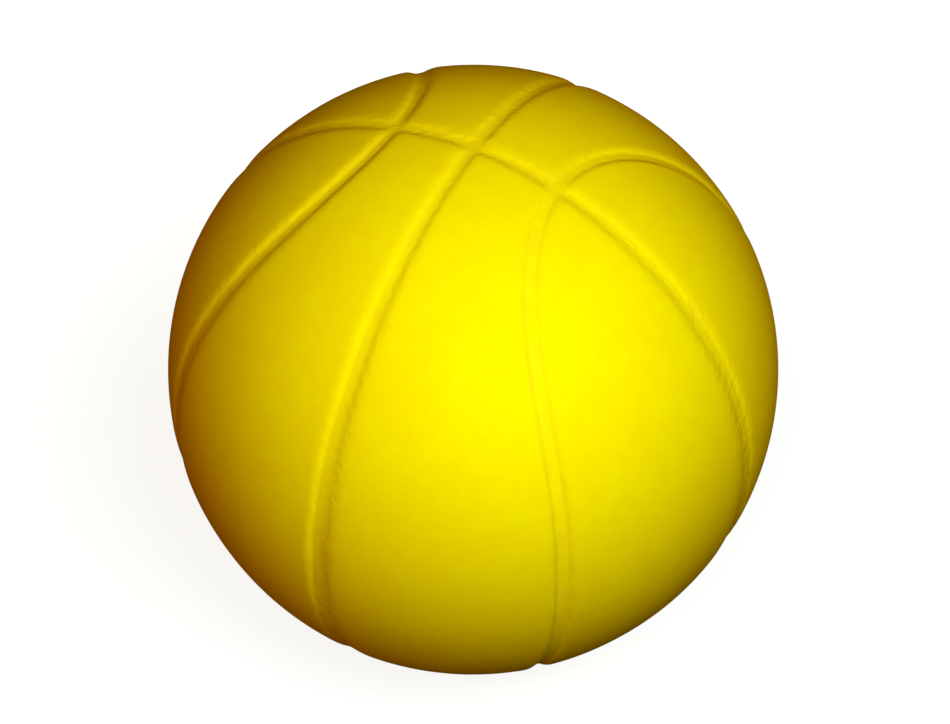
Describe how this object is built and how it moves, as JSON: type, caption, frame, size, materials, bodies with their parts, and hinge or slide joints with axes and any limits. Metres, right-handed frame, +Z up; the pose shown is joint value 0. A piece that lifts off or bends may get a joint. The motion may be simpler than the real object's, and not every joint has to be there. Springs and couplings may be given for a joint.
{
  "type": "foam basketball",
  "caption": "Round foam ball with moulded basketball channels: a resilient foam core in a thin, smooth two-part moulded skin.",
  "frame": {"origin": "centre of the ball", "axes": "+Z up through a crossing of the two round channels; one round channel lies in the XZ plane, the other in the YZ plane, and an oval channel goes round each end of the X axis"},
  "size_m": [0.1996, 0.1996, 0.1996],
  "materials": {
    "skin": "satin",
    "foam": "matte"
  },
  "bodies": {
    "root": {"foam_core": "foam", "skin_front": "skin", "skin_rear": "skin"}
  },
  "joints": []
}
